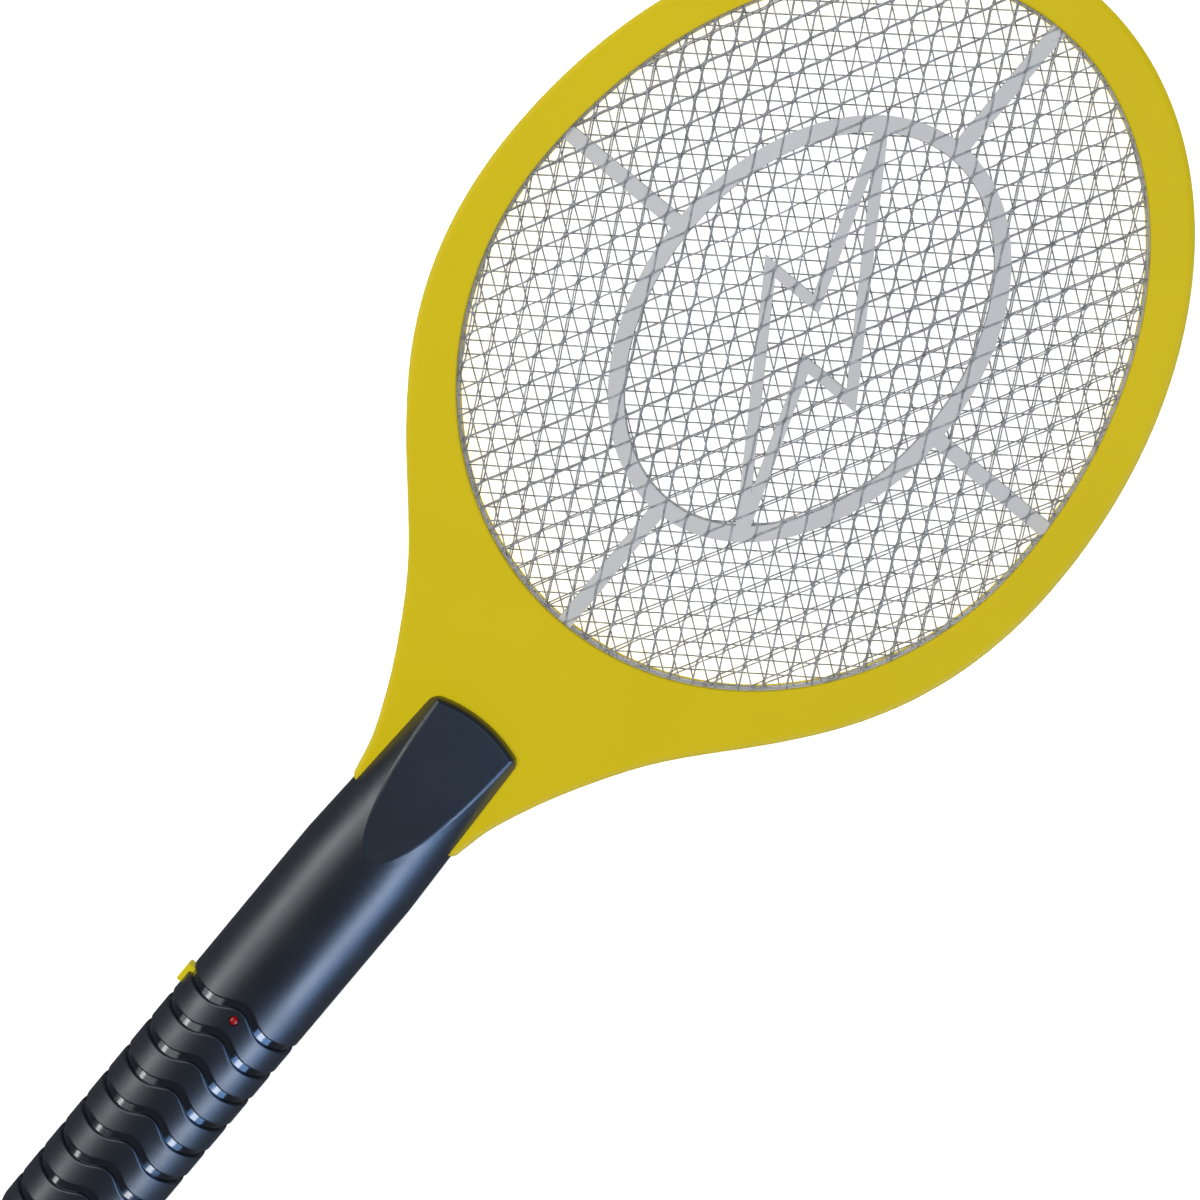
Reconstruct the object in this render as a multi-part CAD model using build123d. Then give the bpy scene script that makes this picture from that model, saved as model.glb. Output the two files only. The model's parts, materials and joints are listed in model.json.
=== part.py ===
from build123d import *
import math
import os

# Electric fly swatter. Millimetres. It lies on its back: +Y runs along the handle to the head's tip,
# +Z is out of the head's front face. While it is built, the origin is the middle of the mesh opening on the
# handle's axis; export() then moves every piece so that the origin is under the middle of the bounding box.

os.makedirs("parts", exist_ok=True)

# Head outline
OPENING_HALF_WIDTH = 90.6
OPENING_WIDEST_Y = -13.0
OPENING_UP = 123.3
OPENING_DOWN = 98.7
RIM_HALF_WIDTH = 102.6
RIM_WIDEST_Y = -13.0
RIM_UP = 136.7
FLARE_POINTS = [(98.0, -48.6), (87.9, -73.7), (62.5, -108.5), (46.2, -128.5), (28.1, -160.7)]
NECK_HALF_WIDTH = 19.5
NECK_END_Y = -189.0
NECK_CORNER = 3.0
FLANK_STEPS = 12

# Head stack, from the mid-plane outwards
HEAD_HALF = 6.5
LIP = 2.0
FRAME_WALL = 2.0
SPACER_LOW = 0.7
SPACER_HIGH = 3.1
LEDGE = 1.5
SPACER_WALL = 6.0
RIM_ROUND = 1.8
LIP_ROUND = 0.6

# Wire grids
WIRE_DIAMETER = 0.46
WIRE_GAP = 0.05
WIRE_REACH = 1.2
OUTER_GRID_ANGLE = 25.4
OUTER_GRID_PITCH = 6.84
MIDDLE_GRID_ANGLE = 53.6
MIDDLE_GRID_PITCH = 4.07
OUTER_GRID_Z = 3.8
TERMINAL_END_Y = -113.1

# Spacer lattice
OVAL_X = 49.6
OVAL_Y = 68.6
OVAL_BAND = 4.8
SPOKE_WIDTH = 4.6
BOLT_CENTRE_X = 1.2
BOLT_HALF = [(-22.4, 58.5), (21.6, -7.5), (4.4, -7.5)]
BOLT_BAR = 3.4

# Handle
HANDLE_RADIUS = 20.0
HANDLE_WALL = 2.2
BUTT_Y = -370.5
BUTT_ROUND = 6.0
BUTT_WALL = 2.5
TAPER_START_Y = -211.0
TAPER_TIP_HALF_WIDTH = 17.2
TONGUE_TIP_Y = -149.2
TONGUE_HALF_WIDTH = 16.3
TONGUE_BULGE = 3.3
TONGUE_CORNER = 4.2
TONGUE_TIP_Z = 11.0
TONGUE_END_WALL = 2.5
SLOPE_END_Y = -201.0
RIDGE_ROUND = 2.0
FIT_GAP = 0.15
GROOVE_COUNT = 9
GROOVE_FIRST_Y = -268.5
GROOVE_PITCH = 11.05
GROOVE_WIDTH = 2.6
GROOVE_DEPTH = 1.1
GROOVE_ROUND = 0.6
GROOVE_LEAN = 1.9
GROOVE_CREST = 5.2
GROOVE_CREST_WIDTH = 6.6

# Neck tenon and screws
TENON_HALF_WIDTH = 15.0
TENON_END_Y = -203.0
NECK_SCREW_X = 27.0
NECK_SCREW_Y = -127.0
TONGUE_SCREW_X = 8.0
TONGUE_SCREW_Y = -172.0
HANDLE_SCREW_YS = (-213.0, -289.0)
SHANK_RADIUS = 1.25
SHANK_CLEARANCE = 0.08
SCREW_HEAD_RADIUS = 2.5
SCREW_HEAD_HEIGHT = 1.8
BOSS_RADIUS = 3.5

# Battery bay
COVER_END_Y = -294.5
BULKHEAD_Y = -298.5
BULKHEAD = 2.0
CONTACT = 0.5
CELL_LENGTH = 49.5
CELL_NUB = 1.0
CELL_RADIUS = 7.25
CELL_X = 7.4
SPRING_LENGTH = 4.5
RAIL_X = (15.0, 16.0)
RAIL_Z = (-3.2, 3.4)
RAIL_TOE_X = 16.9
RAIL_THICK = 0.9
LATCH_INSET = 1.6

# Button and lamp
BUTTON_Y = -271.2
BUTTON_HALF_LENGTH = 3.1
BUTTON_HALF_HEIGHT = 2.4
BUTTON_OUT = 21.6
BUTTON_GAP = 0.2
BUTTON_INNER_X = 15.5
LED_Y = -266.3
LED_RADIUS = 1.4

# Circuit board
BOARD_TOP_Z = -4.0
BOARD_THICK = 1.6
BOARD_HALF_WIDTH = 14.5
BOARD_Y = (-284.0, -222.0)
BOARD_POSTS = [(-11.5, -281.0), (11.5, -281.0), (-11.5, -225.0), (11.5, -225.0)]
LEAD_RADIUS = 0.6

INNER_RADIUS = HANDLE_RADIUS - HANDLE_WALL
TOP_Y = RIM_WIDEST_Y + RIM_UP
MIDDLE_Y = (TOP_Y + BUTT_Y) / 2
BULKHEAD_FACE_Y = BULKHEAD_Y - BULKHEAD
FRONT_CONTACT_Y = BULKHEAD_FACE_Y - CONTACT
BAY_END_Y = FRONT_CONTACT_Y - CELL_LENGTH - CELL_NUB - SPRING_LENGTH
REAR_WALL_Y = BAY_END_Y - CONTACT


def export(name, *solids):
    """Writes one node, with its solids moved to the standing frame."""
    moved = [Pos(0, -MIDDLE_Y, HANDLE_RADIUS) * s for s in solids]
    shape = moved[0] if len(moved) == 1 else Compound(children=moved)
    export_step(shape, os.path.join("parts", name + ".step"))


def block(x, y, z):
    """A box between the two given limits on each axis."""
    size = (x[1] - x[0], y[1] - y[0], z[1] - z[0])
    centre = ((x[0] + x[1]) / 2, (y[0] + y[1]) / 2, (z[0] + z[1]) / 2)
    return Pos(*centre) * Box(*size)


def rod_z(x, y, radius, z):
    """A round bar along Z."""
    return Pos(x, y, (z[0] + z[1]) / 2) * Cylinder(radius, z[1] - z[0])


def rod_y(x, z, radius, y):
    """A round bar along Y."""
    return Pos(x, (y[0] + y[1]) / 2, z) * Rot(90, 0, 0) * Cylinder(radius, y[1] - y[0])


def rod_x(y, z, radius, x):
    """A round bar along X."""
    return Pos((x[0] + x[1]) / 2, y, z) * Rot(0, 90, 0) * Cylinder(radius, x[1] - x[0])


def slab(face, z):
    """A flat face at z = 0 made solid between two heights."""
    return Pos(0, 0, z[0]) * extrude(face, z[1] - z[0])


# ---------------------------------------------------------------- head outlines


def opening_face(margin=0.0):
    """The egg-shaped mesh opening, grown all round by a margin."""
    half = OPENING_HALF_WIDTH + margin
    middle = (0, OPENING_WIDEST_Y)
    upper = EllipticalCenterArc(middle, half, OPENING_UP + margin, 0, arc_size=180)
    lower = EllipticalCenterArc(middle, half, OPENING_DOWN + margin, 180, arc_size=180)
    return make_face([upper, lower])


def flank(side, inset):
    """One flared side of the head, from its widest place to the end of the neck, or a line inside it."""
    points = [(RIM_HALF_WIDTH, RIM_WIDEST_Y)] + FLARE_POINTS + [(NECK_HALF_WIDTH, NECK_END_Y)]
    edge = Spline(*points, tangents=[(0, -1), (-0.2, -1)])
    inner = []
    for step in range(FLANK_STEPS + 1):
        tangent = edge % (step / FLANK_STEPS)
        inward = Vector(tangent.Y, -tangent.X)
        place = edge @ (step / FLANK_STEPS) + inward * inset
        inner.append((side * place.X, place.Y))
    return Spline(*inner, tangents=[(0, -1), (-0.2 * side, -1)])


def rim_face(inset=0.0):
    """The head's outer outline: an elliptical top, flared sides and the straight end of the neck."""
    upper = EllipticalCenterArc((0, RIM_WIDEST_Y), RIM_HALF_WIDTH - inset, RIM_UP - inset, 0, arc_size=180)
    right = flank(1, inset)
    left = flank(-1, inset)
    face = make_face([upper, right, Line(right @ 1, left @ 1), left])
    return fillet(face.vertices().sort_by(Axis.Y)[:2], NECK_CORNER)


# ---------------------------------------------------------------- yellow frames


def tenon_face(inset=0.0):
    half = TENON_HALF_WIDTH - inset
    return Pos(0, (NECK_END_Y + TENON_END_Y) / 2) * Rectangle(2 * half, NECK_END_Y - TENON_END_Y + 4)


def front_frame():
    outline = rim_face()
    skin = slab(outline, (0, HEAD_HALF))
    top_edges = skin.faces().sort_by(Axis.Z)[-1].edges()
    skin = fillet(top_edges, RIM_ROUND)
    skin -= slab(opening_face(), (-1, HEAD_HALF + 1))
    lip_edges = skin.faces().sort_by(Axis.Z)[-1].inner_wires()[0].edges()
    skin = fillet(lip_edges, LIP_ROUND)
    pocket = slab(rim_face(FRAME_WALL), (-1, HEAD_HALF - LIP))
    skin -= pocket & block((-200, 200), (NECK_END_Y + FRAME_WALL, 200), (-2, HEAD_HALF))
    tenon = slab(tenon_face(), (0, HEAD_HALF - 0.3)) - slab(tenon_face(2), (-1, HEAD_HALF - LIP - 0.3))
    # The tenon's cavity opens into the neck, so that the leads can pass.
    channel = block((-TENON_HALF_WIDTH + 2, TENON_HALF_WIDTH - 2), (TENON_END_Y - 2, NECK_END_Y + 4),
                    (-1, HEAD_HALF - LIP - 0.3))
    frame = skin + tenon - channel
    for x, y in head_screw_places():
        frame += rod_z(x, y, BOSS_RADIUS, (0, HEAD_HALF - LIP + 0.5))
    return frame


def head_screw_places():
    neck = [(-NECK_SCREW_X, NECK_SCREW_Y), (NECK_SCREW_X, NECK_SCREW_Y)]
    tongue = [(-TONGUE_SCREW_X, TONGUE_SCREW_Y), (TONGUE_SCREW_X, TONGUE_SCREW_Y)]
    return neck + tongue


def screw_hole(x, y, z):
    return rod_z(x, y, SHANK_RADIUS + SHANK_CLEARANCE, z)


def drilled_front_frame():
    frame = front_frame()
    for side in (-1, 1):
        frame -= screw_hole(side * NECK_SCREW_X, NECK_SCREW_Y, (-1, HEAD_HALF - LIP))
        frame -= screw_hole(side * TONGUE_SCREW_X, TONGUE_SCREW_Y, (-1, HEAD_HALF + 1))
    return frame


def drilled_back_frame():
    frame = mirror(front_frame(), Plane.XY)
    for side in (-1, 1):
        frame -= screw_hole(side * NECK_SCREW_X, NECK_SCREW_Y, (-HEAD_HALF - 1, 1))
        frame -= screw_hole(side * TONGUE_SCREW_X, TONGUE_SCREW_Y, (-HEAD_HALF - 1, 1))
        frame -= rod_z(side * NECK_SCREW_X, NECK_SCREW_Y, SCREW_HEAD_RADIUS + 0.3,
                       (-HEAD_HALF - 1, -HEAD_HALF + SCREW_HEAD_HEIGHT))
    return frame


# ---------------------------------------------------------------- grey spacers


def bolt_outline():
    """The hollow zigzag bolt, the same when turned half round."""
    points = BOLT_HALF + [(-x, -y) for x, y in BOLT_HALF]
    return Pos(BOLT_CENTRE_X, 0) * trace(Polyline(*points, close=True), line_width=BOLT_BAR)


def lattice():
    """Oval ring, four spokes and bolt outline, all of one thickness."""
    z = (SPACER_LOW, SPACER_HIGH)
    outer_oval = slab(Ellipse(OVAL_X, OVAL_Y), z)
    inner_oval = slab(Ellipse(OVAL_X - OVAL_BAND, OVAL_Y - OVAL_BAND), z)
    across = slab(Rectangle(4 * OPENING_HALF_WIDTH, SPOKE_WIDTH), z)
    along = slab(Rectangle(SPOKE_WIDTH, 4 * OPENING_UP), z)
    spokes = (across + along) & slab(opening_face(LEDGE), z)
    return outer_oval + spokes - inner_oval + (slab(bolt_outline(), z) & outer_oval)


def front_spacer():
    ledge = slab(opening_face(LEDGE) - opening_face(), (SPACER_LOW, SPACER_HIGH))
    wall = slab(opening_face(SPACER_WALL) - opening_face(LEDGE), (0, HEAD_HALF - LIP))
    terminal_slot = block((-9, 9), (-125, TERMINAL_END_Y + 0.05), (-1, HEAD_HALF))
    return ledge + wall + lattice() - terminal_slot


# ---------------------------------------------------------------- wire grids


def crossings(centre, direction, down):
    """Where a line crosses the half of the grown opening that lies below, or above, its widest place."""
    half_x = OPENING_HALF_WIDTH + WIRE_REACH
    half_y = (OPENING_DOWN if down else OPENING_UP) + WIRE_REACH
    px, py = centre.X / half_x, (centre.Y - OPENING_WIDEST_Y) / half_y
    dx, dy = direction.X / half_x, direction.Y / half_y
    a, b, c = dx * dx + dy * dy, px * dx + py * dy, px * px + py * py - 1
    if b * b <= a * c:
        return []
    root = math.sqrt(b * b - a * c)
    points = [centre + direction * ((-b + sign * root) / a) for sign in (-1, 1)]
    return [p for p in points if (p.Y < OPENING_WIDEST_Y) == down]


def wires(angle, pitch, z):
    """One layer of parallel wires, cut to the opening, running at an angle to the handle's axis."""
    direction = Vector(math.sin(math.radians(angle)), math.cos(math.radians(angle)))
    across = Vector(direction.Y, -direction.X)
    reach = math.ceil((OPENING_UP + OPENING_DOWN) / pitch)
    layer = []
    for step in range(-reach, reach + 1):
        centre = across * (step * pitch)
        ends = crossings(centre, direction, True) + crossings(centre, direction, False)
        if len(ends) != 2 or (ends[1] - ends[0]).length < 2 * pitch:
            continue
        middle = (ends[0] + ends[1]) / 2
        length = (ends[1] - ends[0]).length
        lie = Pos(middle.X, middle.Y, z) * Rot(0, 0, -angle) * Rot(90, 0, 0)
        layer.append(lie * Cylinder(WIRE_DIAMETER / 2, length))
    return layer


def grid(angle, pitch, z):
    """Two crossing layers of wires, one just above the other."""
    lift = (WIRE_DIAMETER + WIRE_GAP) / 2
    return wires(angle, pitch, z + lift) + wires(-angle, pitch, z - lift)


# ---------------------------------------------------------------- handle shells


def section(y, half_width, height):
    """An elliptical section of the handle, facing along Y."""
    return Plane((0, y, 0), x_dir=(1, 0, 0), z_dir=(0, 1, 0)) * Ellipse(half_width, height)


def handle_body(inset, butt_y, tip_y, round_edge):
    """The round handle, narrowing towards its sloping front end: the outside, or with an inset the hollow."""
    radius = HANDLE_RADIUS - inset
    straight = rod_y(0, 0, radius, (butt_y, TAPER_START_Y))
    straight = fillet(straight.faces().sort_by(Axis.Y)[0].edges(), round_edge)
    tip_half = TAPER_TIP_HALF_WIDTH - inset
    body = straight + loft([section(TAPER_START_Y, radius, radius), section(tip_y, tip_half, radius)])
    slope = math.degrees(math.atan2(HANDLE_RADIUS - TONGUE_TIP_Z, TONGUE_TIP_Y - SLOPE_END_Y))
    cutter = Pos(0, 100, 30) * Box(80, 200, 60)
    front = Pos(0, SLOPE_END_Y, radius) * Rot(-slope, 0, 0) * cutter
    return body - front - mirror(front, Plane.XY)


def tongue_plan():
    """The plan outline of the handle's front end: slightly tapering sides and an arched, rounded tip."""
    shoulder = TONGUE_TIP_Y - TONGUE_BULGE
    start = Vector(-TONGUE_HALF_WIDTH, shoulder)
    finish = Vector(TONGUE_HALF_WIDTH, shoulder)
    arch = ThreePointArc(start, (0, TONGUE_TIP_Y), finish)
    wide = HANDLE_RADIUS - 1.0
    sides = Polyline(finish, (wide, TAPER_START_Y), (-wide, TAPER_START_Y), start)
    face = make_face([arch, sides])
    corners = face.vertices().sort_by(Axis.Y)[-2:]
    return fillet(corners, TONGUE_CORNER)


def groove(index):
    """A wavy band across the grip: a broad crest on the centreline, leaning towards the head with height."""
    y = GROOVE_FIRST_Y - index * GROOVE_PITCH
    edges = []
    for side in (-1, 1):
        points = []
        for step in range(-7, 8):
            x = math.copysign(abs(step / 7) ** 1.5 * (HANDLE_RADIUS + 1), step)
            crest = GROOVE_CREST * math.exp(-(x / GROOVE_CREST_WIDTH) ** 2)
            points.append((x, y + side * GROOVE_WIDTH / 2 + crest))
        edges.append(Spline(*points, tangents=[(1, 0), (1, 0)]))
    ends = [Line(edges[0] @ 0, edges[1] @ 0), Line(edges[0] @ 1, edges[1] @ 1)]
    band = make_face(edges + ends)
    lean = Vector(0, GROOVE_LEAN / HANDLE_RADIUS, 1)
    return extrude(band, HANDLE_RADIUS + 1, dir=lean)


def grip_grooves():
    """All the grooves of the front half, as the arches of material that they take away."""
    length = (BUTT_Y - 1, GROOVE_FIRST_Y + 20)
    skin = rod_y(0, 0, HANDLE_RADIUS + 1, length) - rod_y(0, 0, HANDLE_RADIUS - GROOVE_DEPTH, length)
    return [groove(index) & skin for index in range(GROOVE_COUNT)]


def is_groove_edge(edge):
    """True for the long wavy edges where a groove meets the round outside of the grip."""
    quarter = edge @ 0.25
    on_skin = abs(math.hypot(quarter.X, quarter.Z) - HANDLE_RADIUS) < 0.01
    runs_across = abs((edge % 0.5).X) > 0.8 and edge.length > HANDLE_RADIUS
    return on_skin and runs_across and BUTT_Y + BUTT_ROUND + 0.5 < quarter.Y < GROOVE_FIRST_Y + 12


def half_outside():
    """The solid front half of the handle, with its rounded ridges and grip grooves."""
    body = handle_body(0, BUTT_Y, TONGUE_TIP_Y, BUTT_ROUND)
    body &= block((-30, 30), (BUTT_Y - 1, TONGUE_TIP_Y + 1), (0, 30))
    # Ahead of the neck's end the shell is only the tongue, which lies on the yellow neck.
    ahead = slab(tongue_plan(), (0, 30))
    behind = block((-30, 30), (BUTT_Y - 1, NECK_END_Y), (-1, 30))
    body &= ahead + behind
    body -= block((-30, 30), (NECK_END_Y - FIT_GAP, 0), (-1, HEAD_HALF + FIT_GAP))
    slopes = [f for f in body.faces().filter_by(GeomType.PLANE) if 0.5 < f.normal_at().Z < 0.999]
    body = fillet(slopes[0].edges(), RIDGE_ROUND)
    body -= grip_grooves()
    return fillet(body.edges().filter_by(is_groove_edge), GROOVE_ROUND)


def half_shell(outside):
    """One half of the handle made hollow, before its holes, posts and walls."""
    hollow = handle_body(HANDLE_WALL, BUTT_Y + BUTT_WALL, TONGUE_TIP_Y - TONGUE_BULGE - TONGUE_END_WALL,
                         BUTT_ROUND - BUTT_WALL)
    return outside - hollow


def button_window():
    half_y = BUTTON_HALF_LENGTH + BUTTON_GAP
    half_z = BUTTON_HALF_HEIGHT + BUTTON_GAP
    return block((-HANDLE_RADIUS - 1, -HANDLE_RADIUS + 6), (BUTTON_Y - half_y, BUTTON_Y + half_y),
                 (-half_z, half_z))


def wall_across(y, thickness):
    """A cross wall of the front shell that also hangs into the back half, clear of the sliding cover."""
    span = (y - thickness, y)
    upper = rod_y(0, 0, INNER_RADIUS + 0.5, span) & block((-30, 30), span, (0, 30))
    lower = rod_y(0, 0, INNER_RADIUS - LATCH_INSET - 0.4, span) & block((-30, 30), span, (-30, 0))
    return upper + lower


def cover_rails():
    """The two lips that hang from the front shell and carry the battery cover on their toes."""
    span = (REAR_WALL_Y + 3, COVER_END_Y - 8)
    rails = []
    for side in (-1, 1):
        lip = block(sorted((side * RAIL_X[0], side * RAIL_X[1])), span, RAIL_Z)
        toe = block(sorted((side * RAIL_X[0], side * RAIL_TOE_X)), span, (RAIL_Z[0], RAIL_Z[0] + RAIL_THICK))
        web = block(sorted((side * RAIL_X[0], side * (INNER_RADIUS + 0.2))), span, (RAIL_Z[1] - 1, RAIL_Z[1]))
        rails.append(lip + toe + web)
    return rails


def handle_front_shell(outside):
    shell = half_shell(outside)
    for y in HANDLE_SCREW_YS:
        shell += rod_z(0, y, BOSS_RADIUS, (0, INNER_RADIUS + 0.5))
    for x, y in BOARD_POSTS:
        shell += rod_z(x, y, 1.6, (BOARD_TOP_Z, math.sqrt(INNER_RADIUS ** 2 - x ** 2) + 0.6))
    for side in (-1, 1):
        x = side * TONGUE_SCREW_X
        shell += rod_z(x, TONGUE_SCREW_Y, BOSS_RADIUS - 0.5, (HEAD_HALF + FIT_GAP, 13.4))
    shell += wall_across(BULKHEAD_Y, BULKHEAD)
    shell += wall_across(REAR_WALL_Y, BULKHEAD)
    shell += cover_rails()
    for y in HANDLE_SCREW_YS:
        shell -= screw_hole(0, y, (-1, 12))
    for side in (-1, 1):
        shell -= screw_hole(side * TONGUE_SCREW_X, TONGUE_SCREW_Y, (0, 11.3))
        # Holes that let the battery leads through the bulkhead, above the contacts.
        shell -= rod_y(side * CELL_X, 9.0, LEAD_RADIUS + 0.3, (BULKHEAD_FACE_Y - 1, BULKHEAD_Y + 1))
    shell -= button_window()
    return shell - rod_z(0, LED_Y, LED_RADIUS + 0.15, (10, 30))


def split_back(outside):
    """The back half of the handle cut into the fixed shell and the sliding battery cover."""
    back = mirror(half_shell(outside), Plane.XY)
    fixed = back & block((-30, 30), (COVER_END_Y + 0.3, 0), (-30, 0))
    cover = back & block((-30, 30), (BUTT_Y - 1, COVER_END_Y), (-30, -0.1))
    return fixed, cover


def handle_back_shell(fixed):
    shell = fixed
    for y in HANDLE_SCREW_YS:
        shell += rod_z(0, y, BOSS_RADIUS, (-INNER_RADIUS - 0.5, -FIT_GAP))
    for x, y in BOARD_POSTS:
        deep = math.sqrt(INNER_RADIUS ** 2 - x ** 2) + 0.6
        shell += rod_z(x, y, 2.0, (-deep, BOARD_TOP_Z - BOARD_THICK))
    for side in (-1, 1):
        x = side * TONGUE_SCREW_X
        shell += rod_z(x, TONGUE_SCREW_Y, BOSS_RADIUS, (-13.4, -HEAD_HALF - FIT_GAP))
        shell -= screw_hole(x, TONGUE_SCREW_Y, (-30, 0))
        shell -= rod_z(x, TONGUE_SCREW_Y, SCREW_HEAD_RADIUS + 0.3, (-30, -10.0))
    for y in HANDLE_SCREW_YS:
        shell -= screw_hole(0, y, (-30, 0))
        shell -= rod_z(0, y, SCREW_HEAD_RADIUS + 0.3, (-30, -15.0))
    return shell - button_window()


def battery_cover(cover):
    """The sliding cover, with a rib along each side that rides on the front shell's rails."""
    rail_y = (REAR_WALL_Y + 3, COVER_END_Y - 8)
    for side in (-1, 1):
        rib = sorted((side * (RAIL_X[1] + 0.3), side * (INNER_RADIUS + 0.3)))
        cover += block(rib, rail_y, (RAIL_Z[0] + RAIL_THICK + 0.3, -0.3))
    # Latch tongues that reach under the fixed shell, rooted short of the bulkhead.
    root_y = BULKHEAD_Y + 0.5
    for side in (-1, 1):
        near, far = sorted((side * 6.0, side * 11.0))
        ring = rod_y(0, 0, INNER_RADIUS - 0.3, (root_y, COVER_END_Y + 3.5))
        ring -= rod_y(0, 0, INNER_RADIUS - LATCH_INSET, (root_y - 1, COVER_END_Y + 5))
        cover += ring & block((near, far), (root_y, COVER_END_Y + 3.5), (-18.0, -12.0))
        root = rod_y(0, 0, INNER_RADIUS + 0.5, (root_y, COVER_END_Y))
        root -= rod_y(0, 0, INNER_RADIUS - LATCH_INSET, (root_y - 1, COVER_END_Y + 1))
        cover += root & block((near, far), (root_y, COVER_END_Y), (-18.0, -12.0))
    return cover


# ---------------------------------------------------------------- button, switch and lamp


def push_button():
    """The yellow cap, with a flange inside that keeps it in its window."""
    half_y, half_z = BUTTON_HALF_LENGTH, BUTTON_HALF_HEIGHT
    cap = block((-BUTTON_OUT, -BUTTON_INNER_X), (BUTTON_Y - half_y, BUTTON_Y + half_y), (-half_z, half_z))
    cap = fillet(cap.faces().sort_by(Axis.X)[0].edges(), 0.5)
    flange_y = (BUTTON_Y - half_y - 1.2, BUTTON_Y + half_y + 1.2)
    flange = block((-BUTTON_INNER_X - 1.0, -BUTTON_INNER_X), flange_y, (-half_z - 0.9, half_z + 0.9))
    return cap + flange


def push_switch():
    body = block((-13.5, -7.0), (BUTTON_Y - 3.5, BUTTON_Y + 3.5), (BOARD_TOP_Z, 4.0))
    return body - rod_x(BUTTON_Y, 0, 1.55, (-14, -9.5))


def switch_plunger():
    return rod_x(BUTTON_Y, 0, 1.5, (-BUTTON_INNER_X, -11.5))


def indicator_led():
    lamp = rod_z(0, LED_Y, LED_RADIUS, (15.4, 19.5)) + Pos(0, LED_Y, 19.5) * Sphere(LED_RADIUS)
    flange = rod_z(0, LED_Y, LED_RADIUS + 0.4, (15.0, 16.0))
    return lamp + flange


def led_legs():
    return [rod_z(side * 0.9, LED_Y, 0.25, (BOARD_TOP_Z, 15.0)) for side in (-1, 1)]


# ---------------------------------------------------------------- circuit board


def circuit_board():
    half = BOARD_HALF_WIDTH
    return block((-half, half), BOARD_Y, (BOARD_TOP_Z - BOARD_THICK, BOARD_TOP_Z))


def transformer_core():
    """A ferrite frame round the winding: two end plates and two side bars."""
    plate = block((-7, 7), (-253, -237), (BOARD_TOP_Z, BOARD_TOP_Z + 3))
    top = block((-7, 7), (-253, -237), (BOARD_TOP_Z + 10, BOARD_TOP_Z + 13))
    sides = [block((-7, 7), span, (BOARD_TOP_Z, BOARD_TOP_Z + 13)) for span in ((-253, -250), (-240, -237))]
    centre = rod_z(0, -245, 2.5, (BOARD_TOP_Z, BOARD_TOP_Z + 13))
    return plate + top + sides[0] + sides[1] + centre


def transformer_winding():
    ring = rod_z(0, -245, 4.8, (BOARD_TOP_Z + 3.1, BOARD_TOP_Z + 9.9))
    return ring - rod_z(0, -245, 2.6, (BOARD_TOP_Z, BOARD_TOP_Z + 13))


def hv_capacitor():
    case = block((-6, 10), (-233.5, -227.5), (BOARD_TOP_Z, BOARD_TOP_Z + 11))
    return fillet(case.edges().filter_by(Axis.Z), 1.2)


def multiplier_capacitors():
    discs = []
    for y in (-257.5, -261.5):
        discs.append(rod_y(8.5, BOARD_TOP_Z + 3.6, 3.5, (y - 1.2, y + 1.2)))
    return discs


def diodes():
    return [rod_x(y, BOARD_TOP_Z + 1.3, 1.25, (-12.5, -7.5)) for y in (-240, -246, -252)]


def transistor():
    body = rod_z(8.5, -276, 2.4, (BOARD_TOP_Z, BOARD_TOP_Z + 5))
    return body - block((5, 12), (-280, -277.2), (BOARD_TOP_Z - 1, BOARD_TOP_Z + 6))


def resistors():
    return [rod_y(x, BOARD_TOP_Z + 1.3, 1.2, (-272, -266)) for x in (6.0, 10.5)]


# ---------------------------------------------------------------- batteries and contacts


def battery(x, nub_towards_head):
    """One AA cell: a rounded can and its positive nub."""
    can_end = FRONT_CONTACT_Y - (CELL_NUB if nub_towards_head else SPRING_LENGTH)
    can = rod_y(x, 0, CELL_RADIUS, (can_end - CELL_LENGTH, can_end))
    can = fillet(can.edges().filter_by(GeomType.CIRCLE), 0.7)
    if nub_towards_head:
        return can + rod_y(x, 0, 2.6, (can_end - 0.5, can_end + CELL_NUB))
    return can + rod_y(x, 0, 2.6, (can_end - CELL_LENGTH - CELL_NUB, can_end - CELL_LENGTH + 0.5))


def contact_plate(x, y):
    return block(x, (y - CONTACT, y), (-6.5, 6.5))


def coil_spring(x, y):
    """A conical-ended contact spring, four turns, between two flats."""
    wire = 0.35
    height = SPRING_LENGTH - 2 * wire - 0.06
    path = Helix(pitch=height / 4, height=height, radius=3.4)
    section = Plane(path @ 0, z_dir=path % 0) * Circle(wire)
    coil = sweep(section, path=path)
    return Pos(x, y + wire + 0.03, 0) * Rot(-90, 0, 0) * coil


# ---------------------------------------------------------------- leads and terminals


def lead(points, radius=LEAD_RADIUS):
    """An insulated wire along straight runs joined by arcs."""
    path = FilletPolyline(*points, radius=2.5)
    section = Plane(path @ 0, z_dir=path % 0) * Circle(radius)
    return sweep(section, path=path)


def mesh_terminal(x, levels):
    """A bent metal strip: a finger at each grid's height, and a post down the neck."""
    post = block((x - 2, x + 2), (-122.0, -121.4), (-4.3, 4.3))
    fingers = [block((x - 2, x + 2), (-121.6, TERMINAL_END_Y), (z - 0.25, z + 0.25)) for z in levels]
    strip = post
    for finger in fingers:
        strip += finger
    return strip


# ---------------------------------------------------------------- screws


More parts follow.
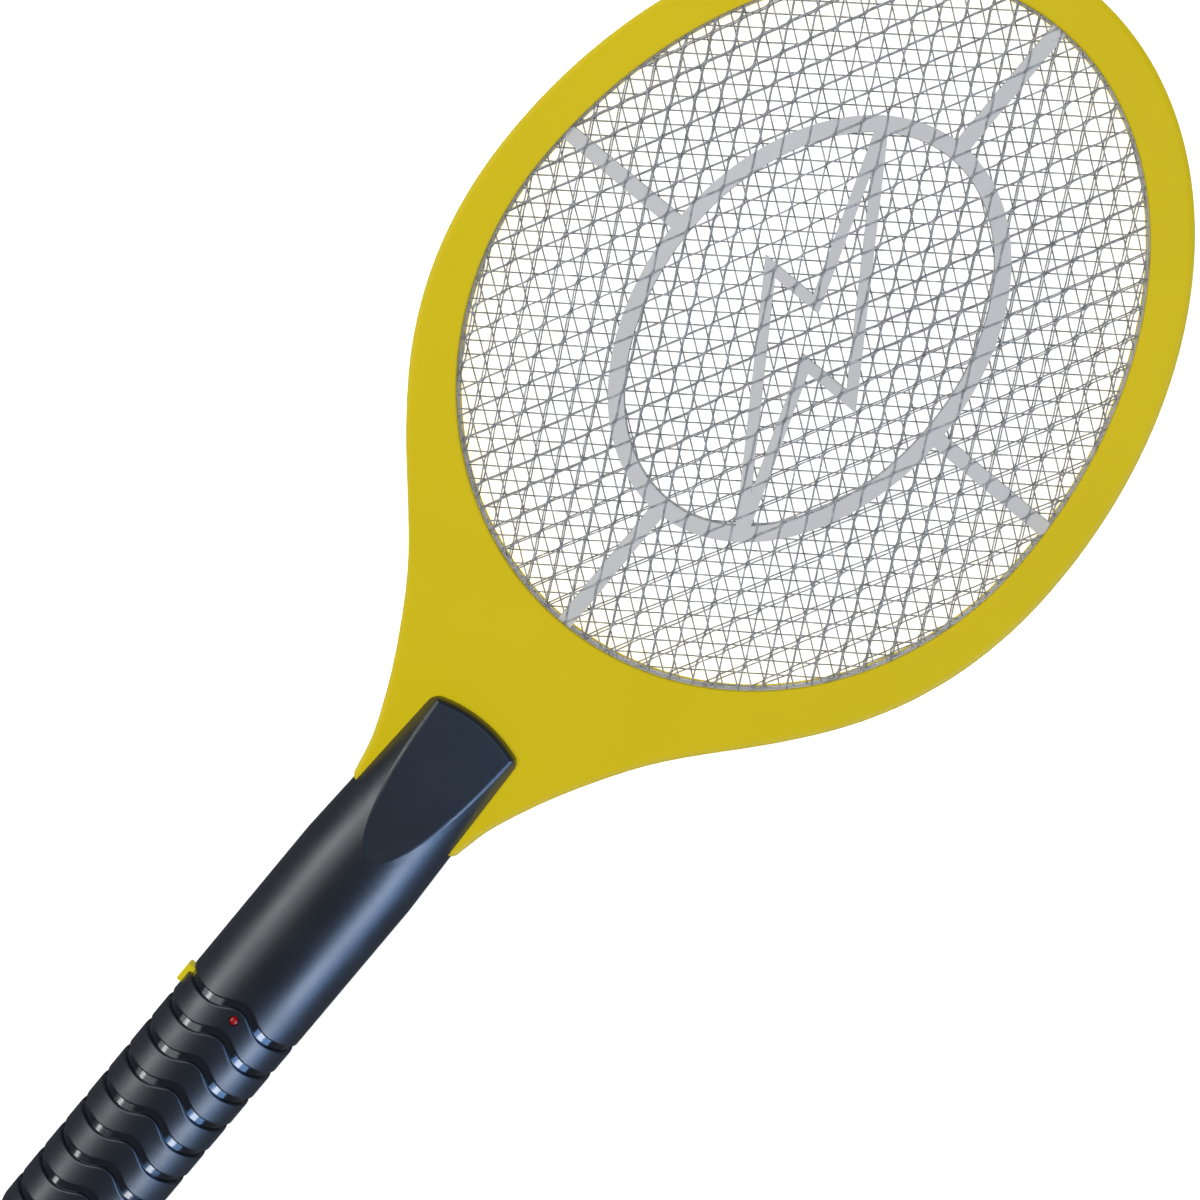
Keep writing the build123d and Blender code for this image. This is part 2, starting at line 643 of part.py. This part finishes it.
def screw(x, y, head_z, tip_z):
    """A pan-head screw driven from the back, its head's outer face at head_z."""
    head = rod_z(x, y, SCREW_HEAD_RADIUS, (head_z, head_z + SCREW_HEAD_HEIGHT))
    head = fillet(head.faces().sort_by(Axis.Z)[0].edges(), 0.6)
    shank = rod_z(x, y, SHANK_RADIUS, (head_z + SCREW_HEAD_HEIGHT, tip_z))
    slots = block((x - 1.5, x + 1.5), (y - 0.35, y + 0.35), (head_z - 1, head_z + 0.9))
    slots += block((x - 0.35, x + 0.35), (y - 1.5, y + 1.5), (head_z - 1, head_z + 0.9))
    return head + shank - slots


def write_head():
    export("front_frame", drilled_front_frame())
    export("back_frame", drilled_back_frame())
    spacer = front_spacer()
    export("front_spacer", spacer)
    export("back_spacer", mirror(spacer, Plane.XY))
    export("front_mesh", *grid(OUTER_GRID_ANGLE, OUTER_GRID_PITCH, OUTER_GRID_Z))
    export("middle_mesh", *grid(MIDDLE_GRID_ANGLE, MIDDLE_GRID_PITCH, 0))
    export("back_mesh", *grid(OUTER_GRID_ANGLE, OUTER_GRID_PITCH, -OUTER_GRID_Z))
    export("outer_mesh_terminal", mesh_terminal(5, (-OUTER_GRID_Z, OUTER_GRID_Z)))
    export("middle_mesh_terminal", mesh_terminal(-5, (0,)))
    neck_xs = (-NECK_SCREW_X, NECK_SCREW_X)
    export("neck_screws", *[screw(x, NECK_SCREW_Y, -HEAD_HALF, 3.5) for x in neck_xs])
    tongue_xs = (-TONGUE_SCREW_X, TONGUE_SCREW_X)
    export("tongue_screws", *[screw(x, TONGUE_SCREW_Y, -11.8, 10.5) for x in tongue_xs])


def write_handle():
    outside = half_outside()
    export("handle_front_shell", handle_front_shell(outside))
    fixed, cover = split_back(outside)
    export("handle_back_shell", handle_back_shell(fixed))
    export("battery_cover", battery_cover(cover))
    export("push_button", push_button())
    export("push_switch", push_switch())
    export("switch_plunger", switch_plunger())
    export("indicator_led", indicator_led())
    export("led_legs", *led_legs())
    export("handle_screws", *[screw(0, y, -16.8, 10.5) for y in HANDLE_SCREW_YS])


def write_electronics():
    export("circuit_board", circuit_board())
    export("transformer_core", transformer_core())
    export("transformer_winding", transformer_winding())
    export("hv_capacitor", hv_capacitor())
    export("multiplier_capacitors", *multiplier_capacitors())
    export("diodes", *diodes())
    export("transistor", transistor())
    export("resistors", *resistors())


def write_power():
    export("battery_1", battery(-CELL_X, True))
    export("battery_2", battery(CELL_X, False))
    export("positive_contact", contact_plate((-13.5, -1.2), BULKHEAD_FACE_Y))
    export("negative_contact", contact_plate((1.2, 13.5), BULKHEAD_FACE_Y))
    export("bridge_contact", contact_plate((-13.5, 13.5), BAY_END_Y))
    export("head_end_spring", coil_spring(CELL_X, FRONT_CONTACT_Y - SPRING_LENGTH))
    export("butt_end_spring", coil_spring(-CELL_X, BAY_END_Y))
    lead_start = BULKHEAD_FACE_Y
    for name, side in (("battery_lead_red", -1), ("battery_lead_black", 1)):
        x = side * CELL_X
        top = BOARD_TOP_Z + LEAD_RADIUS
        export(name, lead([(x, lead_start, 9.0), (x, -292.0, 9.0), (side * 4.5, -286.0, 3.0),
                           (side * 4.5, -281.0, top)]))
    for name, side in (("outer_grid_lead", 1), ("middle_grid_lead", -1)):
        export(name, lead([(side * 4, -223.5, BOARD_TOP_Z + LEAD_RADIUS), (side * 5.5, -214.0, 0),
                           (side * 5.5, -203.0, 0.3), (side * 2.8, -184.0, 0.4), (side * 2.6, -158.0, 0.2),
                           (side * 4.2, -138.0, -0.4), (side * 5, -122.1, 2.2)]))


write_head()
write_handle()
write_electronics()
write_power()
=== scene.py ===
import json
import math

import bpy
import numpy as np
from mathutils import Matrix, Vector


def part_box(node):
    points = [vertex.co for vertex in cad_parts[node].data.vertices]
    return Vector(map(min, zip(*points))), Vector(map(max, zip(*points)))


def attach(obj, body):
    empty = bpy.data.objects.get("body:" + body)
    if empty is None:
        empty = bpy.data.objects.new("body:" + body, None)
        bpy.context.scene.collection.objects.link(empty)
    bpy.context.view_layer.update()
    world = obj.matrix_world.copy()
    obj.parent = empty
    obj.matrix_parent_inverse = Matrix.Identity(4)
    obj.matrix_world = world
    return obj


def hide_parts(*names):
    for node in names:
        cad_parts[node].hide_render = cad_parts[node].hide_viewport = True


# Electric fly swatter. Metres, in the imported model's frame: it lies on its back on z = 0, +Y runs along the
# handle to the head's tip and +Z is out of the head's front face.

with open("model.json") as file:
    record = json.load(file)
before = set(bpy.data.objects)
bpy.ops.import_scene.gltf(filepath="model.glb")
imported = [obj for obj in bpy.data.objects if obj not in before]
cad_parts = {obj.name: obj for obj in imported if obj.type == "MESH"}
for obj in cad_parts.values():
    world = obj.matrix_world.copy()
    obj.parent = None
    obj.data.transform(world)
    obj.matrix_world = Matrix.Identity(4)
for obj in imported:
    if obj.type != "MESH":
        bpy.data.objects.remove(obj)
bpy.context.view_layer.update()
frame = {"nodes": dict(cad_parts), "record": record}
NODES = frame["nodes"]

# Handle: its axis runs along Y at AXIS_Z. The grip's grooves begin just ahead of the button, and what lies
# deeper than SKIN_DEPTH on the grip is the bottom of a groove.
HANDLE_RADIUS = (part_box("handle_front_shell")[1][0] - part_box("handle_front_shell")[0][0]) / 2
AXIS_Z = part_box("handle_front_shell")[1][2] - HANDLE_RADIUS
GROOVES_AHEAD_OF_BUTTON = 0.012
GRIP_TOP_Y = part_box("push_button")[1][1] + GROOVES_AHEAD_OF_BUTTON
SKIN_DEPTH = 0.00065

# Wire grids
WIRE_RADIUS = 0.00023
WIRE_SIDES = 6
STEPS_PER_SPAN = 4
SHORTEST_STEP = 1e-5
WEAVE_LIFT = WIRE_RADIUS * 1.02

# Outer nets: each crossing is a short knot where the two wires twist around each other, along Y
KNOT_HALF_LENGTH = 0.0007
KNOT_HALF_TURNS = 3
KNOT_STEPS = 9
KNOT_RADIUS = WIRE_RADIUS * 1.03
BEND_REACH = 0.002
BEND_SHARES = (0.12, 0.3, 0.5, 0.7, 0.88)

# Camera
CAMERA_PLACE = Vector((-0.0213, 0.1566, 0.7945))
CAMERA_FORWARD = Vector((0.032, -0.1694, -0.985))
CAMERA_UP = Vector((-0.6372, 0.7559, -0.1506))
CAMERA_LENS = 79.5
CAMERA_SENSOR = 36.0

# Stage
FLOOR_HALF_SIDE = 12.0
FLOOR_DROP = 0.0005
FLOOR_GLOW = 0.75
WORLD_COLOUR = (0.85, 0.93, 1.1)
WORLD_STRENGTH = 0.12
LIGHT_AIM = (0, -0.08, 0.03)


# ---------------------------------------------------------------- shader node helpers


def add_node(tree, kind, links=None, **inputs):
    """Adds a node, sets its named inputs to constants and joins others to outputs."""
    node = tree.nodes.new(kind)
    for name, value in inputs.items():
        node.inputs[name.replace("_", " ")].default_value = value
    for name, output in (links or {}).items():
        tree.links.new(output, node.inputs[name])
    return node


def maths(tree, operation, first, second=None):
    """A Math node; either side may be a number or another node's output."""
    node = tree.nodes.new("ShaderNodeMath")
    node.operation = operation
    for socket, value in zip(node.inputs, (first, second)):
        if value is None:
            continue
        if isinstance(value, (int, float)):
            socket.default_value = value
        else:
            tree.links.new(value, socket)
    return node.outputs["Value"]


def object_place(tree):
    """The object's own coordinates, which here are metres of the whole model."""
    return tree.nodes.new("ShaderNodeTexCoord").outputs["Object"]


def noise(tree, scale, detail=3.0, stretch=(1.0, 1.0, 1.0)):
    """Noise fixed to the object, with its coordinates multiplied by the stretch."""
    mapping = add_node(tree, "ShaderNodeMapping", {"Vector": object_place(tree)}, Scale=stretch)
    texture = add_node(tree, "ShaderNodeTexNoise", {"Vector": mapping.outputs["Vector"]},
                       Scale=scale, Detail=detail)
    return texture.outputs["Fac"]


def spread(tree, value, low, high):
    """Maps a noise value, mostly 0.3 to 0.7, onto a range."""
    node = add_node(tree, "ShaderNodeMapRange", {"Value": value},
                    From_Min=0.3, From_Max=0.7, To_Min=low, To_Max=high)
    return node.outputs["Result"]


def mix_colours(tree, factor, first, second):
    """A colour between two constant ones by a factor."""
    node = tree.nodes.new("ShaderNodeMix")
    node.data_type = "RGBA"
    tree.links.new(factor, node.inputs["Factor"])
    for name, colour in (("A", first), ("B", second)):
        socket = [s for s in node.inputs if s.name == name and s.type == "RGBA"][0]
        socket.default_value = (*colour, 1.0)
    return [s for s in node.outputs if s.type == "RGBA"][0]


def bump(tree, shader, height, distance):
    """Bump of the given depth in metres on the shader's normal."""
    node = add_node(tree, "ShaderNodeBump", {"Height": height}, Distance=distance)
    tree.links.new(node.outputs["Normal"], shader.inputs["Normal"])


def new_material(name, colour, roughness, **sockets):
    """A Principled material with its constant values on the shader's own sockets."""
    material = bpy.data.materials.new(name)
    material.use_nodes = True
    shader = material.node_tree.nodes["Principled BSDF"]
    shader.inputs["Base Color"].default_value = (*colour, 1.0)
    shader.inputs["Roughness"].default_value = roughness
    for socket, value in sockets.items():
        shader.inputs[socket.replace("_", " ")].default_value = value
    return material, material.node_tree, shader


# ---------------------------------------------------------------- materials


def moulded(name, colour, roughness, variation=0.06, texture=0.00002, **sockets):
    """Moulded plastic: faint colour and gloss variation over a fine spark-eroded texture."""
    material, tree, shader = new_material(name, colour, roughness, **sockets)
    darker = tuple(c * (1 - variation) for c in colour)
    lighter = tuple(min(1.0, c * (1 + variation)) for c in colour)
    patch = spread(tree, noise(tree, 18.0, 2.0), 0.0, 1.0)
    tree.links.new(mix_colours(tree, patch, darker, lighter), shader.inputs["Base Color"])
    gloss = spread(tree, noise(tree, 60.0, 4.0), roughness - 0.03, roughness + 0.03)
    tree.links.new(gloss, shader.inputs["Roughness"])
    bump(tree, shader, noise(tree, 2600.0, 2.0), texture)
    return material


def black_handle():
    """Black moulded plastic, satin on the skin and polished in the bottoms of the grip grooves."""
    colour = (0.0075, 0.0095, 0.0145)
    material, tree, shader = new_material("black_plastic", colour, 0.4, IOR=1.65)
    place = add_node(tree, "ShaderNodeSeparateXYZ", {"Vector": object_place(tree)}).outputs
    height = maths(tree, "SUBTRACT", place["Z"], AXIS_Z)
    height_squared = maths(tree, "MULTIPLY", height, height)
    side_squared = maths(tree, "MULTIPLY", place["X"], place["X"])
    radius = maths(tree, "SQRT", maths(tree, "ADD", height_squared, side_squared))
    sunk = maths(tree, "LESS_THAN", radius, HANDLE_RADIUS - SKIN_DEPTH)
    on_grip = maths(tree, "LESS_THAN", place["Y"], GRIP_TOP_Y)
    groove = maths(tree, "MULTIPLY", sunk, on_grip)
    satin = spread(tree, noise(tree, 70.0, 4.0), 0.36, 0.42)
    gloss = add_node(tree, "ShaderNodeMix", {"Factor": groove, "A": satin}, B=0.1)
    tree.links.new(gloss.outputs["Result"], shader.inputs["Roughness"])
    bump(tree, shader, noise(tree, 2200.0, 2.0), 0.000015)
    return material


def drawn_wire():
    """Galvanised wire: dull zinc with a little shine, darker and brighter along its length."""
    material, tree, shader = new_material("grid_wire", (0.35, 0.35, 0.35), 0.36, Metallic=0.12)
    stain = spread(tree, noise(tree, 420.0, 3.0), 0.0, 1.0)
    colour = mix_colours(tree, stain, (0.21, 0.21, 0.205), (0.60, 0.595, 0.58))
    tree.links.new(colour, shader.inputs["Base Color"])
    tree.links.new(spread(tree, noise(tree, 900.0, 2.0), 0.28, 0.44), shader.inputs["Roughness"])
    return material


def metal(name, colour, roughness):
    """Plated or stamped metal with fine streaks."""
    material, tree, shader = new_material(name, colour, roughness, Metallic=1.0)
    streak = noise(tree, 300.0, 4.0, (1.0, 0.08, 1.0))
    darker = tuple(c * 0.75 for c in colour)
    streaked = mix_colours(tree, spread(tree, streak, 0.0, 1.0), darker, colour)
    tree.links.new(streaked, shader.inputs["Base Color"])
    tree.links.new(spread(tree, streak, roughness - 0.06, roughness + 0.1), shader.inputs["Roughness"])
    bump(tree, shader, streak, 0.00001)
    return material


def red_lens():
    """Tinted translucent epoxy."""
    material, tree, shader = new_material("red_lens", (0.55, 0.004, 0.006), 0.14, IOR=1.5,
                                          Transmission_Weight=0.25)
    cloud = spread(tree, noise(tree, 500.0, 2.0), 0.0, 1.0)
    colour = mix_colours(tree, cloud, (0.42, 0.003, 0.004), (0.65, 0.008, 0.009))
    tree.links.new(colour, shader.inputs["Base Color"])
    return material


def board_laminate():
    """Green solder mask with copper tracks showing faintly through it."""
    material, tree, shader = new_material("board_green", (0.01, 0.13, 0.04), 0.3, Coat_Weight=0.3)
    track = add_node(tree, "ShaderNodeTexBrick", {"Vector": object_place(tree)}, Scale=160.0,
                     Color1=(0.008, 0.10, 0.03, 1), Color2=(0.012, 0.14, 0.045, 1),
                     Mortar=(0.03, 0.26, 0.08, 1), Mortar_Size=0.06)
    tree.links.new(track.outputs["Color"], shader.inputs["Base Color"])
    return material


def make_materials():
    """One material for each of the record's material slots."""
    return {
        "yellow_plastic": moulded("yellow_plastic", (0.84, 0.65, 0.006), 0.5, 0.02,
                                  Specular_IOR_Level=0.18),
        "button_yellow": moulded("button_yellow", (0.88, 0.74, 0.008), 0.36, 0.03),
        "black_plastic": black_handle(),
        "grey_plastic": moulded("grey_plastic", (0.70, 0.70, 0.70), 0.42, 0.03),
        "grid_wire": drawn_wire(),
        "red_lens": red_lens(),
        "board_green": board_laminate(),
        "ferrite": moulded("ferrite", (0.03, 0.03, 0.032), 0.6, 0.2, 0.00006),
        "winding_tape": moulded("winding_tape", (0.75, 0.42, 0.03), 0.25, 0.08),
        "film_capacitor": moulded("film_capacitor", (0.28, 0.02, 0.01), 0.2, 0.1),
        "ceramic_capacitor": moulded("ceramic_capacitor", (0.02, 0.08, 0.40), 0.25, 0.1),
        "component_black": moulded("component_black", (0.012, 0.012, 0.012), 0.5, 0.2),
        "resistor_beige": moulded("resistor_beige", (0.55, 0.42, 0.24), 0.35, 0.1),
        "cell_can": metal("cell_can", (0.16, 0.18, 0.22), 0.3),
        "contact_metal": metal("contact_metal", (0.65, 0.65, 0.66), 0.25),
        "screw_steel": metal("screw_steel", (0.42, 0.42, 0.44), 0.35),
        "terminal_brass": metal("terminal_brass", (0.7, 0.5, 0.2), 0.3),
        "wire_red": moulded("wire_red", (0.5, 0.02, 0.01), 0.4),
        "wire_black": moulded("wire_black", (0.01, 0.01, 0.01), 0.4),
        "wire_white": moulded("wire_white", (0.75, 0.75, 0.7), 0.4),
    }


def paint_cad_nodes(materials):
    """Gives every CAD node the material of its slot."""
    slots = {entry["node"]: entry["material_slot"] for entry in frame["record"]["subparts"]}
    for name, node in NODES.items():
        node.data.materials.clear()
        node.data.materials.append(materials[slots[name]])


# ---------------------------------------------------------------- wire grids


def first_of(groups):
    """For each member, the first index that has its group."""
    first = np.full(groups.max() + 1, -1)
    for index, group in enumerate(groups.reshape(-1)):
        if first[group] < 0:
            first[group] = index
    return first[groups.reshape(-1)]


def straight_wires(node_name):
    """The two ends of every straight CAD wire of a grid, read from the separate pieces of its mesh."""
    mesh = NODES[node_name].data
    points = np.empty(len(mesh.vertices) * 3)
    mesh.vertices.foreach_get("co", points)
    points = points.reshape(-1, 3)
    edges = np.empty(len(mesh.edges) * 2, dtype=int)
    mesh.edges.foreach_get("vertices", edges)
    owner = np.arange(len(points))
    # Vertices that lie in one place or share an edge belong to one wire.
    _, same = np.unique(np.round(points, 6), axis=0, return_inverse=True)
    twins = np.stack([np.arange(len(points)), first_of(same)], axis=1)
    pairs = np.concatenate([edges.reshape(-1, 2), twins])
    changed = True
    while changed:
        low = np.minimum(owner[pairs[:, 0]], owner[pairs[:, 1]])
        before = owner.copy()
        np.minimum.at(owner, pairs[:, 0], low)
        np.minimum.at(owner, pairs[:, 1], low)
        owner = owner[owner]
        changed = not np.array_equal(before, owner)
    wires = []
    for piece in np.unique(owner):
        cloud = points[owner == piece]
        middle = cloud.mean(axis=0)
        _, _, axes = np.linalg.svd(cloud - middle, full_matrices=False)
        along = (cloud - middle) @ axes[0]
        wires.append((middle + axes[0] * along.min(), middle + axes[0] * along.max()))
    return wires


def layer_of(wires, upper):
    """The wires of a grid's upper or lower layer, ordered across the layer."""
    heights = np.array([a[2] for a, _ in wires])
    limit = (heights.max() + heights.min()) / 2
    chosen = [w for w, z in zip(wires, heights) if (z > limit) == upper]
    run = chosen[0][1] - chosen[0][0]
    across = np.array([-run[1], run[0]]) / np.hypot(run[0], run[1])
    return sorted(chosen, key=lambda w: float(w[0][:2] @ across))


def crossing_places(wire, others):
    """How far along a wire each wire of the other layer crosses it, with that wire's number."""
    start, end = wire[0][:2], wire[1][:2]
    length = np.linalg.norm(end - start)
    along = (end - start) / length
    places = []
    for number, (a, b) in enumerate(others):
        run = b[:2] - a[:2]
        cross = along[0] * run[1] - along[1] * run[0]
        offset = a[:2] - start
        distance = (offset[0] * run[1] - offset[1] * run[0]) / cross
        share = (offset[0] * along[1] - offset[1] * along[0]) / cross
        if 0 <= distance <= length and 0 <= share <= 1:
            places.append((distance, number))
    return sorted(places)


def wave_points(wire, others, number, upper, middle_z):
    """The centre line of one woven wire: over one crossing wire and under the next."""
    start, end = wire[0][:2], wire[1][:2]
    length = np.linalg.norm(end - start)
    stations, heights = [0.0], [0.0]
    crossings = crossing_places(wire, others)
    signs = [(1 if (number + other) % 2 == 0 else -1) * (1 if upper else -1) for _, other in crossings]
    for (here, _), (there, _), sign in zip(crossings, crossings[1:], signs):
        for step in range(STEPS_PER_SPAN):
            share = step / STEPS_PER_SPAN
            stations.append(here + (there - here) * share)
            heights.append(sign * WEAVE_LIFT * math.cos(math.pi * share))
    if crossings:
        stations.append(crossings[-1][0])
        heights.append(signs[-1] * WEAVE_LIFT)
    stations.append(length)
    heights.append(0.0)
    keep = [0] + [i for i in range(1, len(stations)) if stations[i] - stations[i - 1] > SHORTEST_STEP]
    stations = np.array(stations)[keep]
    heights = np.array(heights)[keep]
    flat = start + np.outer(stations / length, end - start)
    return np.column_stack([flat, middle_z + heights])


def knot_points(place, height, side):
    """A wire's helix through a knot, from one side of it to the other."""
    share = np.linspace(0, 1, KNOT_STEPS + 1)
    turn = share * KNOT_HALF_TURNS * math.pi
    return np.column_stack([place[0] - side * KNOT_RADIUS * np.cos(turn),
                            place[1] + (2 * share - 1) * KNOT_HALF_LENGTH,
                            height + side * KNOT_RADIUS * np.sin(turn)])


def bend_points(start, end):
    """A wire between two knots: it leaves each along Y and bends over to the other."""
    share = np.array(BEND_SHARES)[:, None]
    ease = 3 * share ** 2 - 2 * share ** 3
    sway = share - 3 * share ** 2 + 2 * share ** 3
    return start + ease * (end - start) + sway * np.array([0, BEND_REACH, 0])


def netting_points(wire, others, middle_z):
    """The centre line of one wire of an outer net, knotted where it crosses the other layer's wires."""
    start, end = (wire if wire[0][1] < wire[1][1] else wire[::-1])
    start, end = np.array([*start[:2], middle_z]), np.array([*end[:2], middle_z])
    run = end - start
    length = np.linalg.norm(run)
    side = math.copysign(1, run[0])
    along = run / length
    clear = KNOT_HALF_LENGTH * 2
    places = [d for d, _ in crossing_places((start, end), others) if clear < d < length - clear]
    stretches = [start[None, :]]
    for distance in places:
        knot = knot_points(start + along * distance, middle_z, side)
        if len(stretches) > 1:
            stretches.append(bend_points(stretches[-1][-1], knot[0]))
        stretches.append(knot)
    stretches.append(end[None, :])
    return np.concatenate(stretches)


def tube(points, radius, sides):
    """Vertices and faces of a round tube along a nearly flat line."""
    run = np.gradient(points, axis=0)
    run /= np.linalg.norm(run, axis=1)[:, None]
    side = np.cross(run, (0, 0, 1.0))
    side /= np.linalg.norm(side, axis=1)[:, None]
    up = np.cross(side, run)
    angles = np.arange(sides) * 2 * math.pi / sides
    rings = (points[:, None, :] + radius * (np.cos(angles)[None, :, None] * side[:, None, :]
                                            + np.sin(angles)[None, :, None] * up[:, None, :]))
    vertices = rings.reshape(-1, 3)
    faces = []
    for ring in range(len(points) - 1):
        for step in range(sides):
            after = (step + 1) % sides
            a, b = ring * sides + step, ring * sides + after
            faces.append((a, b, b + sides, a + sides))
    faces.append(tuple(range(sides)))
    faces.append(tuple(reversed(range(len(vertices) - sides, len(vertices)))))
    return vertices, faces


def wire_grid(name, node_name, material, knotted):
    """A grid that follows the CAD grid's straight wires, as knotted netting or as a plain weave."""
    wires = straight_wires(node_name)
    heights = [a[2] for a, _ in wires]
    middle_z = (max(heights) + min(heights)) / 2
    layers = (layer_of(wires, True), layer_of(wires, False))
    vertices, faces, count = [], [], 0
    for upper, layer, others in ((True, *layers), (False, *reversed(layers))):
        for number, wire in enumerate(layer):
            if knotted:
                points = netting_points(wire, others, middle_z)
            else:
                points = wave_points(wire, others, number, upper, middle_z)
            wire_vertices, wire_faces = tube(points, WIRE_RADIUS, WIRE_SIDES)
            vertices.append(wire_vertices)
            faces += [tuple(index + count for index in face) for face in wire_faces]
            count += len(wire_vertices)
    mesh = bpy.data.meshes.new(name)
    mesh.from_pydata(np.concatenate(vertices).tolist(), [], faces)
    mesh.polygons.foreach_set("use_smooth", [len(p.vertices) == 4 for p in mesh.polygons])
    mesh.materials.append(material)
    grid = bpy.data.objects.new(name, mesh)
    bpy.context.scene.collection.objects.link(grid)
    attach(grid, "body")
    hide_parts(node_name)


# ---------------------------------------------------------------- stage


def add_camera():
    """The camera of the main view, with its place and its forward and up directions."""
    data = bpy.data.cameras.new("camera")
    data.lens = CAMERA_LENS
    data.sensor_width = CAMERA_SENSOR
    data.clip_start = 0.01
    camera = bpy.data.objects.new("camera", data)
    bpy.context.scene.collection.objects.link(camera)
    back = -CAMERA_FORWARD.normalized()
    right = CAMERA_UP.cross(back).normalized()
    up = back.cross(right)
    turn = Matrix((right, up, back)).transposed().to_4x4()
    camera.matrix_world = Matrix.Translation(CAMERA_PLACE) @ turn
    bpy.context.scene.camera = camera


def add_floor():
    """A plain white floor, self-lit enough to stay white, that glossy surfaces don't mirror."""
    side = FLOOR_HALF_SIDE
    mesh = bpy.data.meshes.new("floor")
    corners = [(-side, -side, 0), (side, -side, 0), (side, side, 0), (-side, side, 0)]
    mesh.from_pydata(corners, [], [(0, 1, 2, 3)])
    floor = bpy.data.objects.new("floor", mesh)
    floor.location = (0, 0, -FLOOR_DROP)
    floor.visible_glossy = False
    bpy.context.scene.collection.objects.link(floor)
    material, tree, shader = new_material("floor", (0.9, 0.9, 0.9), 0.9)
    shader.inputs["Emission Color"].default_value = (1, 1, 1, 1)
    shader.inputs["Emission Strength"].default_value = FLOOR_GLOW
    floor.data.materials.append(material)


def area_light(name, place, size, power, colour=(1, 1, 1), diffuse=True, gloss=True):
    """A rectangular softbox turned to the handle, with its second side along the object."""
    data = bpy.data.lights.new(name, "AREA")
    data.shape = "RECTANGLE"
    data.size, data.size_y = size
    data.energy = power
    data.color = colour
    light = bpy.data.objects.new(name, data)
    back = (Vector(place) - Vector(LIGHT_AIM)).normalized()
    right = Vector((0, 1, 0)).cross(back).normalized()
    turn = Matrix((right, back.cross(right), back)).transposed().to_4x4()
    light.matrix_world = Matrix.Translation(place) @ turn
    light.visible_diffuse = diffuse
    light.visible_glossy = gloss
    bpy.context.scene.collection.objects.link(light)


def add_lights():
    """Soft light from above, and softboxes beside and above the handle that only glossy surfaces show."""
    world = bpy.data.worlds.new("studio")
    world.use_nodes = True
    background = world.node_tree.nodes["Background"]
    background.inputs["Color"].default_value = (*WORLD_COLOUR, 1)
    background.inputs["Strength"].default_value = WORLD_STRENGTH
    bpy.context.scene.world = world
    area_light("overhead", (-0.25, 0.15, 1.5), (1.0, 1.0), 16, gloss=False)
    area_light("left_strip", (-1.04, -0.05, 0.6), (1.05, 1.4), 8.5, (0.88, 0.98, 1.0), diffuse=False)
    area_light("left_glint", (-1.0, -0.55, 0.44), (0.16, 0.8), 2.6, diffuse=False)
    area_light("right_strip", (1.06, -0.05, 0.48), (0.85, 1.4), 21, (0.25, 0.5, 1.0), diffuse=False)
    area_light("right_glint", (1.0, -0.55, 0.54), (0.26, 0.8), 5.4, (0.95, 0.97, 1.0), diffuse=False)
    area_light("slope_panel", (0.12, 0.33, 0.95), (0.5, 0.3), 1.1, (0.33, 0.58, 1.0), diffuse=False)


bpy.context.scene.view_settings.view_transform = "Standard"
add_camera()
finishes = make_materials()
paint_cad_nodes(finishes)
for grid_node in ("front_mesh", "middle_mesh", "back_mesh"):
    wire_grid("wire_" + grid_node, grid_node, finishes["grid_wire"], grid_node != "middle_mesh")
add_floor()
add_lights()
